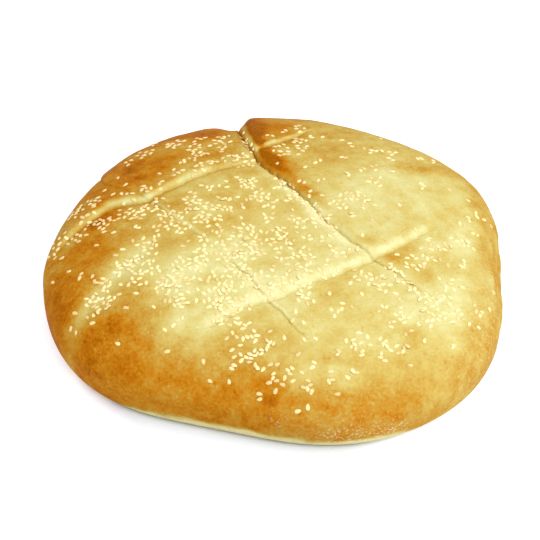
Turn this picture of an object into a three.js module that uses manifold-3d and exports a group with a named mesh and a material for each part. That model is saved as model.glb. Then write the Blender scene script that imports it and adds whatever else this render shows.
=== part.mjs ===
// Sesame khobz: a round, thick, soft flatbread, slashed four times before baking and sprinkled
// with sesame. Millimetres, +Z up. The loaf lies on its flat underside, and the origin is on the
// underside, under the middle of its outline. +Y points to the back of the loaf.

import * as THREE from "three";
import { mergeVertices } from "three/addons/utils/BufferGeometryUtils.js";
import Module from "manifold-3d";

// The dome
const HEIGHT = 48.5;
const WIDEST_HEIGHT = 16.8; // the side is upright and the outline widest at this height
const FOOT_TUCK = 4.8; // how far the foot turns in below it
const MEAN_RADIUS = 122.8;
const DOME_CENTRE = [3.1, -1.6];
const FLATNESS = 2.62; // exponent of the dome across: 2 is an ellipse, more is a flatter top
const FALL = 2.03; // exponent of the dome upwards

// The outline shaped by hand: swells round the edge, how far each stands out, where the first one is
const OUTLINE_SWELLS = [
  { count: 2, height: 1.2, degrees: -41 },
  { count: 3, height: 3.0, degrees: -47 },
  { count: 4, height: 3.4, degrees: 33 },
  { count: 5, height: 0.6, degrees: 18 },
  { count: 6, height: 0.7, degrees: -30 },
  { count: 7, height: 0.7, degrees: 24 },
];

// The four slashes cross like a noughts-and-crosses board, turned by this much. Each is a narrow
// groove at the foot of a step, where the far side opened and rose above the near side. Rows are
// points along the groove: x, y, depth of the groove, width of the step, height of the step.
const BOARD_DEGREES = 31;
const LONG_SLASH = [
  [-20.5, 118, 1.6, 6, 3.6],
  [-19.5, 96, 1.8, 6, 4.6],
  [-16, 72, 1.8, 6, 4.2],
  [-8, 49, 1.8, 7, 3.6],
  [4, 31, 1.7, 9, 3.2],
  [23, 4, 1.5, 9, 2.2],
  [39, -19, 1.2, 8, 1.2],
  [56, -38, 0.9, 8, 0.6],
  [74, -51, 0.6, 8, 0.3],
  [92, -62, 0, 8, 0],
];
const LEFT_SLASH = [
  [-92, 47.5, 1.4, 4, 1.6],
  [-78, 31, 1.2, 4, 1.2],
  [-65, 18, 1, 4, 0.5],
  [-34, -19.5, 0.8, 4, 0.3],
  [-19, -38, 0.9, 4, 0.3],
  [-5, -59, 0.9, 4, 0.3],
  [6, -74, 0.8, 4, 0.2],
  [20, -92, 0, 4, 0],
];
const BACK_SLASH = [
  [-118, -1, 1, 6, 1.8],
  [-109, 8, 1.2, 6, 3.2],
  [-87, 18, 1.2, 7, 3.6],
  [-74, 18.5, 1.1, 7, 3.2],
  [-65, 18.5, 1, 7, 3],
  [-58, 27, 1, 7, 2.8],
  [-44, 35, 1, 7, 2.4],
  [-27, 43, 1, 7, 2.2],
  [-8, 47, 0.8, 6, 1.8],
  [-1, 64, 0.7, 4, 0.8],
  [18, 81, 0.7, 4, 0.8],
  [32, 90, 0, 4, 0],
];
const FRONT_SLASH = [
  [-52, -80, 0, 9, 0],
  [-30, -77, 0.4, 9, 0.6],
  [-14, -67, 0.6, 9, 1],
  [1, -62.5, 0.7, 9, 1.2],
  [40, -41, 0.7, 9, 1.4],
  [50, -32, 0.9, 8, 1.8],
  [60, -24.5, 1.3, 9, 2.4],
  [70, -15, 1.3, 9, 2.2],
  [80, -5, 0.7, 9, 1.2],
  [92, 6, 0, 9, 0],
];
const GROOVE_REACH = 1.3; // a groove rises out to each side over about this distance
const STEP_REACH = 38; // a step sinks back into the dome on both sides over about this distance
const RELIEF_STARTS = 3; // heights above the table between which the relief comes in
const RELIEF_FULL = 14;

// The mesh lines: an even spacing, and closer stations across each slash
const LINE_SPACING = 9.8;
const LINE_CLEARANCE = 4.4;
const SLASH_STATIONS = [-6, -1.8, -0.6, 0, 0.8, 2.4, 4.6, 7.5, 12];
const DOME_STEPS = 400; // steps of the side view from the top to the widest place
const FOOT_STEPS = 50; // and from there down to the underside
const BENDING_PASSES = 4; // enough for the bent lines to settle

// Sesame: the seeds that the solid carries, flat teardrops sunk a little into the crust
const SEED_LENGTH = 3.1;
const SEED_WIDTH = 1.9;
const SEED_THICKNESS = 1.1;
const SEED_TAPER = 0.32; // the pointed end is narrower by this share
const SEED_LIFT = 0.12; // the middle of a seed is this far above the crust
const SEED_SPREAD = 0.22; // seeds differ in size by this share
const SEED_GAP = 4; // the nearest that two of these seeds come
const SEED_COUNT = 168;
const SEED_DRAWS = 900; // the most that are sprinkled to lay that many
const SEED_SIDES = 7;
const SEED_RINGS = 3;

// Handfuls of sesame as they fell: x, y, reach to each side and to the back, share of the seeds
const HANDFULS = [
  [-20, -20, 32, 28, 26],
  [-56, -32, 24, 22, 12],
  [-26, -64, 22, 12, 8],
  [-80, -44, 10, 16, 4],
  [-88, 8, 15, 17, 7],
  [-46, 24, 28, 14, 11],
  [-24, 66, 22, 12, 6],
  [10, 76, 13, 9, 4],
  [16, 12, 24, 22, 7],
  [62, 32, 28, 26, 7],
  [52, -28, 28, 18, 9],
  [72, -58, 24, 12, 9],
  [96, -8, 9, 26, 3],
  [-2, -96, 15, 11, 7],
  [42, -88, 26, 13, 8],
];

const BAKED_CRUST = { color: 0xd9a650, roughness: 0.7, metalness: 0 };

const RADIANS = Math.PI / 180;

const smooth = (t) => {
  const s = Math.min(Math.max(t, 0), 1);
  return s * s * (3 - 2 * s);
};

// Straight-line reading of a table of values at rising places
function between(t, places, values) {
  const last = places.length - 1;
  const after = places.findIndex((place) => place > t);
  const i = after < 0 ? last : Math.max(after, 1);
  const share = (t - places[i - 1]) / (places[i] - places[i - 1]);
  return values[i - 1] + (values[i] - values[i - 1]) * Math.min(Math.max(share, 0), 1);
}

// Cubic reading of rows [place, value, value, ...]: smooth through every row, level past both ends
function through(rows, t) {
  const last = rows.length - 1;
  if (t <= rows[0][0]) return rows[0].slice(1);
  if (t >= rows[last][0]) return rows[last].slice(1);
  const i = rows.findIndex((row) => row[0] > t) - 1;
  const span = rows[i + 1][0] - rows[i][0];
  const s = (t - rows[i][0]) / span;
  const slope = (k, column) => {
    const before = rows[Math.max(k - 1, 0)];
    const after = rows[Math.min(k + 1, last)];
    return (after[column] - before[column]) / (after[0] - before[0]);
  };
  return rows[i].slice(1).map((value, k) => {
    const column = k + 1;
    const level = value * (1 - smooth(s)) + rows[i + 1][column] * smooth(s);
    const start = slope(i, column) * s * (1 - s) ** 2;
    const end = slope(i + 1, column) * s * s * (1 - s);
    return level + span * (start - end);
  });
}

// Radius of the widest outline in a direction, in radians
function outlineRadius(angle) {
  return OUTLINE_SWELLS.reduce(
    (radius, { count, height, degrees }) =>
      radius + height * Math.cos(count * (angle - degrees * RADIANS)),
    MEAN_RADIUS,
  );
}

// Side view from the top of the dome over the shoulder to the foot. Reach is a share of the outline
// radius, tuck is taken off it, and place is the share of the way walked along the surface.
function meridian() {
  const points = [];
  for (let k = 0; k <= DOME_STEPS; k++) {
    const turn = (k / DOME_STEPS) * (Math.PI / 2);
    points.push({
      reach: Math.sin(turn) ** (2 / FLATNESS),
      tuck: 0,
      z: WIDEST_HEIGHT + (HEIGHT - WIDEST_HEIGHT) * Math.cos(turn) ** (2 / FALL),
    });
  }
  for (let k = 1; k <= FOOT_STEPS; k++) {
    const turn = (k / FOOT_STEPS) * (Math.PI / 2);
    points.push({
      reach: 1,
      tuck: FOOT_TUCK * (1 - Math.cos(turn)),
      z: WIDEST_HEIGHT * (1 - Math.sin(turn)),
    });
  }
  points[points.length - 1].z = 0;
  let walked = 0;
  points.forEach((point, k) => {
    point.r = point.reach * MEAN_RADIUS - point.tuck;
    if (k > 0) walked += Math.hypot(point.r - points[k - 1].r, point.z - points[k - 1].z);
    point.place = walked;
  });
  points.forEach((point) => (point.place /= walked));
  return { points, length: walked };
}

const side = meridian();
const sidePlaces = side.points.map((point) => point.place);
const sideColumn = (name) => side.points.map((point) => point[name]);
const sideReach = sideColumn("reach");
const sideTuck = sideColumn("tuck");
const sideHeight = sideColumn("z");
const sideRadius = sideColumn("r");

// A square board laid over the round loaf, from -1 to 1 each way, to a disc and back
function discOf(u, v) {
  return [u * Math.sqrt(1 - (v * v) / 2), v * Math.sqrt(1 - (u * u) / 2)];
}

function boardOf(p, q) {
  const root = (t) => Math.sqrt(Math.max(t, 0));
  const far = 2 * Math.SQRT2;
  const half = (a, b) => (root(2 + a * a - b * b + far * a) - root(2 + a * a - b * b - far * a)) / 2;
  return [half(p, q), half(q, p)];
}

// A point of the loaf seen from above, in board places
function boardPlace(x, y) {
  const [dx, dy] = [x - DOME_CENTRE[0], y - DOME_CENTRE[1]];
  const angle = Math.atan2(dy, dx);
  const reach = Math.min(Math.hypot(dx, dy) / outlineRadius(angle), 1);
  const place = between(reach, sideReach, sidePlaces);
  const turned = angle - BOARD_DEGREES * RADIANS;
  return boardOf(place * Math.cos(turned), place * Math.sin(turned));
}

// A slash as rows [place along the board, place across it, depth, width, height]
function slash(rows, across) {
  const line = rows
    .map(([x, y, ...sizes]) => {
      const place = boardPlace(x, y);
      return [place[1 - across], place[across], ...sizes];
    })
    .sort((a, b) => a[0] - b[0]);
  const rest = line.reduce((sum, row) => sum + row[1], 0) / line.length;
  return { rest, at: (along) => through(line, along) };
}

const longSlash = slash(LONG_SLASH, 0);
const leftSlash = slash(LEFT_SLASH, 0);
const backSlash = slash(BACK_SLASH, 1);
const frontSlash = slash(FRONT_SLASH, 1);

// Bends the straight board so that its lines follow the slashes
function bent(u, v) {
  let [a, b] = [u, v];
  for (let pass = 0; pass < BENDING_PASSES; pass++) {
    const lineA = [-1, leftSlash.at(b)[0], longSlash.at(b)[0], 1];
    a = between(u, [-1, leftSlash.rest, longSlash.rest, 1], lineA);
    const lineB = [-1, frontSlash.at(a)[0], backSlash.at(a)[0], 1];
    b = between(v, [-1, frontSlash.rest, backSlash.rest, 1], lineB);
  }
  return [a, b];
}

// Height across one slash at a distance from its groove, less than 0 on its near side: the groove,
// and the step, half of it below the dome and half above
function section(distance, depth, width, height) {
  const groove = depth * Math.exp(-Math.abs(distance) / GROOVE_REACH);
  const step = height * (smooth(distance / width) - 0.5);
  const away = Math.max(distance - width, -distance, 0);
  return step * Math.exp(-away / STEP_REACH) - groove;
}

function relief(a, b) {
  const cut = (line, along, across) => {
    const [place, depth, width, height] = line.at(along);
    return section((across - place) * side.length, depth, width, height);
  };
  return (
    cut(leftSlash, b, a) + cut(longSlash, b, a) + cut(frontSlash, a, b) + cut(backSlash, a, b)
  );
}

// A point of the crust from its straight board places
function crustPoint(u, v) {
  const [a, b] = bent(u, v);
  const [p, q] = discOf(a, b);
  const place = Math.min(Math.hypot(p, q), 1);
  const angle = Math.atan2(q, p) + BOARD_DEGREES * RADIANS;
  const read = (column, at) => between(at, sidePlaces, column);
  const step = 2 / DOME_STEPS;
  const [inner, outer] = [Math.max(place - step, 0), Math.min(place + step, 1)];
  const run = read(sideRadius, outer) - read(sideRadius, inner);
  const rise = read(sideHeight, outer) - read(sideHeight, inner);
  const height = read(sideHeight, place);
  const shown = smooth((height - RELIEF_STARTS) / (RELIEF_FULL - RELIEF_STARTS));
  const push = (relief(a, b) * shown) / Math.hypot(run, rise);
  const radius = outlineRadius(angle) * read(sideReach, place) - read(sideTuck, place) - push * rise;
  return [
    DOME_CENTRE[0] + radius * Math.cos(angle),
    DOME_CENTRE[1] + radius * Math.sin(angle),
    height + push * run,
  ];
}

// Straight board places of the mesh lines of one family
function meshLines(slashes) {
  const near = slashes.flatMap(({ rest }) =>
    SLASH_STATIONS.map((station) => rest + station / side.length),
  );
  const count = Math.round((2 * side.length) / LINE_SPACING);
  const even = Array.from({ length: count + 1 }, (_, k) => -1 + (2 * k) / count);
  const clear = LINE_CLEARANCE / side.length;
  const kept = even.filter((place) => near.every((other) => Math.abs(other - place) > clear));
  return [...kept, ...near].sort((a, b) => a - b);
}

// The bare crust: the bent board carried onto the dome, closed by the flat underside
function crust() {
  const us = meshLines([leftSlash, longSlash]);
  const vs = meshLines([frontSlash, backSlash]);
  const [n, m] = [us.length, vs.length];
  const positions = vs.flatMap((v) => us.flatMap((u) => crustPoint(u, v)));
  const index = (i, j) => j * n + i;
  const faces = [];
  for (let j = 0; j < m - 1; j++) {
    for (let i = 0; i < n - 1; i++) {
      const corners = [index(i, j), index(i + 1, j), index(i + 1, j + 1), index(i, j + 1)];
      const [a, b, c, d] = corners;
      const towardsMiddle = (us[i] + us[i + 1]) * (vs[j] + vs[j + 1]) > 0;
      faces.push(...(towardsMiddle ? [a, b, c, a, c, d] : [a, b, d, b, c, d]));
    }
  }
  const rim = [];
  for (let i = 0; i < n - 1; i++) rim.push(index(i, 0));
  for (let j = 0; j < m - 1; j++) rim.push(index(n - 1, j));
  for (let i = n - 1; i > 0; i--) rim.push(index(i, m - 1));
  for (let j = m - 1; j > 0; j--) rim.push(index(0, j));
  const middle = positions.length / 3;
  positions.push(DOME_CENTRE[0], DOME_CENTRE[1], 0);
  rim.forEach((vertex, k) => faces.push(middle, rim[(k + 1) % rim.length], vertex));
  const geometry = new THREE.BufferGeometry();
  geometry.setAttribute("position", new THREE.Float32BufferAttribute(positions, 3));
  geometry.setIndex(faces);
  return geometry;
}

// The same number between 0 and 1 each time for a seed and a question about it: the fraction left
// of a large sine
const SHUFFLE = { seed: 12.9898, question: 78.233, stretch: 43758.5453 };
const QUESTION = { handful: 1, distance: 2, direction: 3, size: 4, spin: 5 };
function draw(seed, question) {
  const wave = Math.sin(seed * SHUFFLE.seed + question * SHUFFLE.question) * SHUFFLE.stretch;
  return wave - Math.floor(wave);
}

// Where a seed falls: in one of the handfuls, most of them near its middle
function fallOf(seed) {
  const total = HANDFULS.reduce((sum, handful) => sum + handful[4], 0);
  let left = draw(seed, QUESTION.handful) * total;
  const [x, y, reachX, reachY] = HANDFULS.find((handful) => (left -= handful[4]) < 0);
  const away = Math.sqrt(-2 * Math.log(1 - draw(seed, QUESTION.distance)));
  const turn = 2 * Math.PI * draw(seed, QUESTION.direction);
  return [x + reachX * away * Math.cos(turn), y + reachY * away * Math.sin(turn)];
}

// One seed at its true size, flat side down, pointed end towards -X
function seedShape(size) {
  const shape = new THREE.SphereGeometry(1, SEED_SIDES, SEED_RINGS).rotateX(Math.PI / 2);
  shape.deleteAttribute("normal");
  shape.deleteAttribute("uv");
  const points = shape.getAttribute("position");
  for (let k = 0; k < points.count; k++) {
    const narrowed = points.getY(k) * (1 + SEED_TAPER * points.getX(k));
    points.setY(k, narrowed);
  }
  shape.scale((size * SEED_LENGTH) / 2, (size * SEED_WIDTH) / 2, SEED_THICKNESS / 2);
  return mergeVertices(shape);
}

// The seeds of the solid, dropped straight down onto the crust and laid flat on it
function seeds(bare) {
  const ground = new THREE.Mesh(bare, new THREE.MeshBasicMaterial());
  const caster = new THREE.Raycaster();
  const down = new THREE.Vector3(0, 0, -1);
  const up = new THREE.Vector3(0, 0, 1);
  const laid = [];
  for (let seed = 0; seed < SEED_DRAWS && laid.length < SEED_COUNT; seed++) {
    const [x, y] = fallOf(seed);
    caster.set(new THREE.Vector3(x, y, 2 * HEIGHT), down);
    const [hit] = caster.intersectObject(ground);
    const crowded = laid.some((other) => Math.hypot(other.x - x, other.y - y) < SEED_GAP);
    if (!hit || crowded || hit.point.z < WIDEST_HEIGHT) continue;
    const size = 1 + SEED_SPREAD * (draw(seed, QUESTION.size) - 0.5);
    const turned = 2 * Math.PI * draw(seed, QUESTION.spin);
    const spin = new THREE.Quaternion().setFromAxisAngle(up, turned);
    const lie = new THREE.Quaternion().setFromUnitVectors(up, hit.face.normal).multiply(spin);
    const centre = hit.point.clone().addScaledVector(hit.face.normal, SEED_LIFT);
    const geometry = seedShape(size).applyQuaternion(lie).translate(centre.x, centre.y, centre.z);
    laid.push({ x, y, geometry });
  }
  return laid.map(({ geometry }) => geometry);
}

const wasm = await Module();
wasm.setup();

function solid(geometry) {
  const vertProperties = new Float32Array(geometry.getAttribute("position").array);
  const triVerts = new Uint32Array(geometry.index.array);
  return new wasm.Manifold(new wasm.Mesh({ numProp: 3, vertProperties, triVerts }));
}

function geometryOf(manifold) {
  const { vertProperties, triVerts } = manifold.getMesh();
  const geometry = new THREE.BufferGeometry();
  geometry.setAttribute("position", new THREE.BufferAttribute(vertProperties, 3));
  geometry.setIndex(new THREE.BufferAttribute(triVerts, 1));
  geometry.computeVertexNormals();
  return geometry;
}

// The loaf and its seeds as one solid
function loaf() {
  const bare = crust();
  bare.computeVertexNormals();
  const joined = seeds(bare).reduce((whole, seed) => whole.add(solid(seed)), solid(bare));
  const mesh = new THREE.Mesh(geometryOf(joined), new THREE.MeshStandardMaterial(BAKED_CRUST));
  mesh.name = "loaf";
  return mesh;
}

const khobz = new THREE.Group();
khobz.add(loaf());

export default khobz;
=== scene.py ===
import math

import bpy
import numpy as np
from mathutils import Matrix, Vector
from mathutils.bvhtree import BVHTree


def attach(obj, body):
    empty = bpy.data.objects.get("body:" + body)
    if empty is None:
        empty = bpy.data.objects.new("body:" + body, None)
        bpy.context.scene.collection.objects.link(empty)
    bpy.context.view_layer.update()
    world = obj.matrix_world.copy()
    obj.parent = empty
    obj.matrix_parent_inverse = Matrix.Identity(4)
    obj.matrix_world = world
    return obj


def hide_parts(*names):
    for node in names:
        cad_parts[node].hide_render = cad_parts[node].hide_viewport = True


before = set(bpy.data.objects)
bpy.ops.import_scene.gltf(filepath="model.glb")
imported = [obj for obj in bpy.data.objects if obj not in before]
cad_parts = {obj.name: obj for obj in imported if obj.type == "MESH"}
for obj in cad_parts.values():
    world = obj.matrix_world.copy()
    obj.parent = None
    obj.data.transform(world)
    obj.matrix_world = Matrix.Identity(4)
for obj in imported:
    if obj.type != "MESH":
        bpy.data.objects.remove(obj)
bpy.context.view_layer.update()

# The dough: a round loaf shaped by hand and proved on a flat board. It has a flat underside, an
# upright side that turns in at the foot, and a low dome. The outline swells here and there, because
# no tin holds it. The sizes in this script are millimetres, and MM makes them metres.
MM = 0.001
HEIGHT = 48.5
WIDEST_HEIGHT = 16.8  # the side is upright and the outline widest at this height
FOOT_TUCK = 6.6  # how far the foot turns in below it
MEAN_RADIUS = 122.8
DOME_CENTRE = (3.1, -1.6)
FLATNESS = 2.62  # exponent of the dome across: 2 is an ellipse, more is a flatter top
FALL = 2.03  # exponent of the dome upwards
DOME_STEPS = 400  # steps of the side view from the top to the widest place
FOOT_STEPS = 50  # and from there down to the underside

# Swells round the edge, how far each stands out, and where the first one is, in degrees
OUTLINE_SWELLS = [(2, 1.2, -41), (3, 3, -47), (4, 3.4, 33), (5, 0.6, 18), (6, 0.7, -30), (7, 0.7, 24)]


def smooth(t):
    """0 up to 0, 1 from 1 on, and three squares less two cubes of t between them."""
    share = np.clip(t, 0, 1)
    return share * share * (3 - 2 * share)


def outline_radius(angle):
    """Radius of the widest outline: the mean radius and a cosine wave for each count of swells."""
    turned = [(count, height, angle - math.radians(start)) for count, height, start in OUTLINE_SWELLS]
    return MEAN_RADIUS + sum(height * np.cos(count * away) for count, height, away in turned)


def side_view():
    """Columns of the side view from the top to the foot: share of the way along it, reach as a share
    of the radius, tuck, height and radius, and the length of the way. The dome is a stretched ellipse,
    and the foot is a quarter of an ellipse."""
    turn = np.linspace(0, math.pi / 2, DOME_STEPS + 1)
    under = np.linspace(0, math.pi / 2, FOOT_STEPS + 1)[1:]
    reach = np.concatenate([np.sin(turn) ** (2 / FLATNESS), np.ones(FOOT_STEPS)])
    tuck = np.concatenate([np.zeros(DOME_STEPS + 1), FOOT_TUCK * (1 - np.cos(under))])
    crown = WIDEST_HEIGHT + (HEIGHT - WIDEST_HEIGHT) * np.maximum(np.cos(turn), 0) ** (2 / FALL)
    z = np.concatenate([crown, WIDEST_HEIGHT * (1 - np.sin(under))])
    z[-1] = 0
    radius = reach * MEAN_RADIUS - tuck
    walked = np.concatenate([[0], np.cumsum(np.hypot(np.diff(radius), np.diff(z)))])
    return walked / walked[-1], reach, tuck, z, radius, walked[-1]


SIDE_PLACE, SIDE_REACH, SIDE_TUCK, SIDE_Z, SIDE_RADIUS, SIDE_LENGTH = side_view()

# The four slashes: cut before baking, they cross like a noughts-and-crosses board that is turned a
# little. Each is a narrow groove at the foot of a step, where the far side opened and rose above the
# near side. The torn wall of the step stayed pale, and its lip is rounded where it bulged over.
BOARD_DEGREES = 31
# Rows: x, y, depth of the groove, width and height of the step, bulge of the lip, paleness of the
# wall, browning of the lip
LONG_SLASH = [
    (-20.5, 118, 2.4, 11, 3.2, 0.1, 0.5, 0.1),
    (-19.5, 96, 2.4, 7.4, 4.2, 0.2, 0.6, 0.2),
    (-15.5, 74, 2.2, 6, 3.6, 0.3, 0.7, 0.3),
    (-10.5, 58, 2, 5, 3, 0.6, 0.7, 0.35),
    (-8, 51, 1.9, 5, 2.6, 1, 0, 0.4),
    (6, 32.5, 1.9, 6, 2.2, 1, 0, 0.4),
    (15, 19, 1.9, 6, 2, 1, 0, 0.35),
    (24.5, 4, 1.6, 6, 1.6, 1, 0.1, 0.1),
    (40, -19, 1.5, 6, 1.1, 0.7, 0.15, 0.1),
    (60, -38.5, 1.7, 6, 0.6, 0.4, 0.1, 0),
    (74, -50, 1.2, 6, 0.4, 0.3, 0.1, 0),
    (92, -62, 0, 6, 0, 0, 0, 0),
]
LEFT_SLASH = [
    (-92, 47.5, 0.6, 5, 1.2, 0.5, 0, 0),
    (-78, 31, 0.5, 5, 0.9, 0.5, 0, 0),
    (-66, 20, 0.8, 3, 0.5, 0.2, 0.2, 0),
    (-51, 1, 0.8, 3, 0.5, 0.2, 0.7, 0),
    (-38, -15, 0.7, 3, 0.4, 0.2, 0.5, 0),
    (-28, -27, 0.3, 3, 0.1, 0.2, 0.1, 0),
    (-19.5, -38, 1.1, 3.4, 0.4, 0.4, 0.5, 0),
    (-5, -59, 1.4, 3.4, 0.4, 0.4, 0.6, 0),
    (6, -74, 1.2, 3.4, 0.3, 0.4, 0.5, 0),
    (20, -92, 0, 3.4, 0, 0, 0, 0),
]
BACK_SLASH = [
    (-115, -9, 0.3, 6, 0.8, 0.1, 0, 0),
    (-109.5, -0.5, 1, 6, 1.8, 0.1, 0.3, 0.05),
    (-103, 5.5, 1.6, 7, 2.6, 0.1, 0.5, 0.1),
    (-96, 11.5, 2, 7.5, 3.2, 0.1, 0.7, 0.15),
    (-87.5, 19, 2.2, 8.2, 3.2, 0.1, 0.8, 0.15),
    (-76, 20.5, 2, 8, 3, 0.1, 0.9, 0.15),
    (-66, 20, 1.6, 7.4, 2.8, 0.1, 0.95, 0.1),
    (-58, 27.5, 2, 6, 2.8, 0.1, 0.75, 0.1),
    (-44, 37.5, 2, 6, 2.4, 0.1, 0.6, 0.1),
    (-35, 43, 1.8, 6, 2.2, 0.1, 0.5, 0.1),
    (-27, 46.8, 1.8, 5, 1.8, 0.1, 0.45, 0.1),
    (-14, 49, 1.4, 5, 1.5, 0.1, 0.4, 0.1),
    (-9, 51, 1, 4, 1.2, 0.2, 0.2, 0.1),
    (-9.5, 59, 2, 3, 1.6, 0.4, 0, 0.1),
    (-5, 63, 2.2, 3, 1.8, 0.5, 0.6, 0.1),
    (-1, 66.5, 2, 3.2, 1.8, 0.3, 0.9, 0),
    (8, 74.5, 1.6, 3.2, 1.7, 0.3, 0.8, 0),
    (14, 81, 1.4, 2.6, 1.3, 0.3, 0.7, 0),
    (19, 86, 0.5, 3, 0.4, 0, 0.3, 0),
    (27, 91, 0, 3, 0, 0, 0, 0),
]
FRONT_SLASH = [
    (-52, -80, 0, 9, 0, 0, 0, 0),
    (-30, -77, 0.4, 9, 0.6, 0, 0.4, 0),
    (-14, -67, 0.7, 8, 1, 0, 0.7, 0),
    (1, -62.5, 0.8, 8, 1.2, 0, 0.8, 0),
    (20, -50.5, 0.8, 8, 1.4, 0, 0.9, 0),
    (40, -39.5, 0.8, 7.5, 1.5, 0, 0.9, 0.1),
    (50, -32, 1, 7, 1.8, 0, 0.9, 0.1),
    (60, -24.5, 0.8, 7, 2.2, 0, 1, 0.1),
    (70, -15, 0.7, 7, 2, 0, 1, 0),
    (78, -7, 0.6, 7, 1.1, 0, 0.6, 0),
    (87, 2, 0, 9, 0, 0, 0, 0),
]
GROOVE_REACH = 0.6  # a groove rises out to each side over about this distance
STEP_REACH = 38  # a step sinks back into the dome on both sides over about this distance
WALL_PLACE = (0.4, 0.33)  # middle and reach of the pale wall, as shares of the step's width
TEARS = [(5.5, 0.7, 1), (2.3, 0.5, 2)]  # the torn edge: length of its waves, how far they swing, seed
BENDING_PASSES = 4
LATTICE_TURNS = (12.99, 78.23, 37.72)  # these three shuffle the numbers on a lattice
SEED_TURN = 19.19
LARGE = 43758.5453


def through(rows, t):
    """Cubic reading of rows (place, value, value, ...): smooth through every row, level past both
    ends. The slope at a row is that of the line between its two neighbours."""
    places, values = rows[:, 0], rows[:, 1:]
    count = np.arange(len(rows))
    before, after = np.maximum(count - 1, 0), np.minimum(count + 1, len(rows) - 1)
    slopes = (values[after] - values[before]) / (places[after] - places[before])[:, None]
    held = np.clip(t, places[0], places[-1])
    i = np.clip(np.searchsorted(places, held, side="right") - 1, 0, len(rows) - 2)
    span = (places[i + 1] - places[i])[..., None]
    share = ((held - places[i])[..., None]) / span
    level = values[i] * (1 - smooth(share)) + values[i + 1] * smooth(share)
    return level + span * (slopes[i] * share * (1 - share) ** 2 - slopes[i + 1] * share**2 * (1 - share))


def disc_of(u, v):
    """Point of a disc for a point of a square board from -1 to 1: u times the root of 1 less half of
    v squared, and the same with u and v changed over."""
    return u * np.sqrt(1 - v * v / 2), v * np.sqrt(1 - u * u / 2)


def board_of(p, q):
    """Point of the square board for a point of the disc: disc_of solved for u and v."""

    def half(a, b):
        base, far = 2 + a * a - b * b, 2 * math.sqrt(2) * a
        return (np.sqrt(np.maximum(base + far, 0)) - np.sqrt(np.maximum(base - far, 0))) / 2

    return half(p, q), half(q, p)


def board_place(x, y):
    """Board places of a point of the loaf seen from above: its share of the outline radius gives the
    share of the way along the side view, and that and its direction are a point of the disc."""
    angle = np.arctan2(y - DOME_CENTRE[1], x - DOME_CENTRE[0])
    reach = np.minimum(np.hypot(x - DOME_CENTRE[0], y - DOME_CENTRE[1]) / outline_radius(angle), 1)
    place = np.interp(reach, SIDE_REACH[: DOME_STEPS + 1], SIDE_PLACE[: DOME_STEPS + 1])
    turned = angle - math.radians(BOARD_DEGREES)
    return board_of(place * np.cos(turned), place * np.sin(turned))


def slash(rows, across):
    """A slash as rows (place along the board, place across it, its sizes) and its mean place across."""
    table = np.array(rows, float)
    places = board_place(table[:, 0], table[:, 1])
    line = np.column_stack([places[1 - across], places[across], table[:, 2:]])
    line = line[np.argsort(line[:, 0])]
    return line, line[:, 1].mean()


long_slash, left_slash = slash(LONG_SLASH, 0), slash(LEFT_SLASH, 0)
back_slash, front_slash = slash(BACK_SLASH, 1), slash(FRONT_SLASH, 1)


def bent(u, v):
    """Bends the straight board so that its lines follow the slashes: each way in turn, a place keeps
    its share of the gap between the two slashes, or between a slash and the edge."""

    def follow(place, low, high, other):
        rest = np.array([-1, low[1], high[1], 1])
        lines = np.stack([
            np.full_like(place, -1), through(low[0], other)[..., 0],
            through(high[0], other)[..., 0], np.full_like(place, 1),
        ])
        gap = np.clip(np.searchsorted(rest, place, side="right") - 1, 0, 2)
        start = np.take_along_axis(lines, gap[None], 0)[0]
        end = np.take_along_axis(lines, gap[None] + 1, 0)[0]
        return start + (end - start) * (place - rest[gap]) / (rest[gap + 1] - rest[gap])

    a, b = u, v
    for _ in range(BENDING_PASSES):
        a = follow(u, left_slash, long_slash, b)
        b = follow(v, front_slash, back_slash, a)
    return a, b


def lattice(corner, seed):
    """A number from -1 to 1 for a corner of a lattice, the same each time: the fraction left of a
    large sine of its place."""
    wave = np.sin(corner @ np.array(LATTICE_TURNS) + seed * SEED_TURN) * LARGE
    return 2 * (wave - np.floor(wave)) - 1


def mottle(points, size, seed):
    """Soft random lumps of one size, from -1 to 1: a number at each corner of a cubic lattice, blended
    smoothly between the eight corners round a point."""
    low = np.floor(points / size)
    share = smooth(points / size - low)
    total = np.zeros(points.shape[:-1])
    for corner in np.ndindex(2, 2, 2):
        weight = np.prod(np.where(corner, share, 1 - share), axis=-1)
        total += weight * lattice(low + corner, seed)
    return total


def mottling(points, rows):
    """Lumps of several sizes added up, from rows of size, height and seed."""
    return sum(height * mottle(points, size, seed) for size, height, seed in rows)


def cut(line, along, across):
    """Distance from a slash's groove, less than 0 on its near side, and the slash's sizes there. The
    torn edge swings the groove a little to and fro."""
    sizes = through(line, along)
    walk = np.stack([along * SIDE_LENGTH, sizes[..., 0] * SIDE_LENGTH, np.zeros_like(along)], axis=-1)
    swing = mottling(walk, TEARS) * np.minimum(sizes[..., 1], 1)
    return (across - sizes[..., 0]) * SIDE_LENGTH + swing, sizes[..., 1:]


def section(distance, sizes):
    """Height across a slash: a groove that dies away on both sides, and a step, half of it below the
    dome and half above. The step is an S where the wall slopes, and a quarter of an ellipse where the
    lip bulges."""
    depth, width, height, bulge = (sizes[..., k] for k in range(4))
    share = np.clip(distance / width, 0, 1)
    rise = (1 - bulge) * smooth(share) + bulge * np.sqrt(share * (2 - share))
    away = np.maximum(np.maximum(distance - width, -distance), 0)
    groove = depth * np.exp(-np.abs(distance) / GROOVE_REACH)
    return height * (rise - 0.5) * np.exp(-away / STEP_REACH) - groove


def bell(value, middle, reach):
    """1 at the middle, falling off on both sides in a bell of that reach."""
    return np.exp(-(((value - middle) / reach) ** 2))


def wall(distance, sizes):
    """How much a point belongs to the pale torn wall: a bell over the step, narrower than it."""
    return sizes[..., 4] * bell(distance / sizes[..., 1], *WALL_PLACE)


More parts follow.
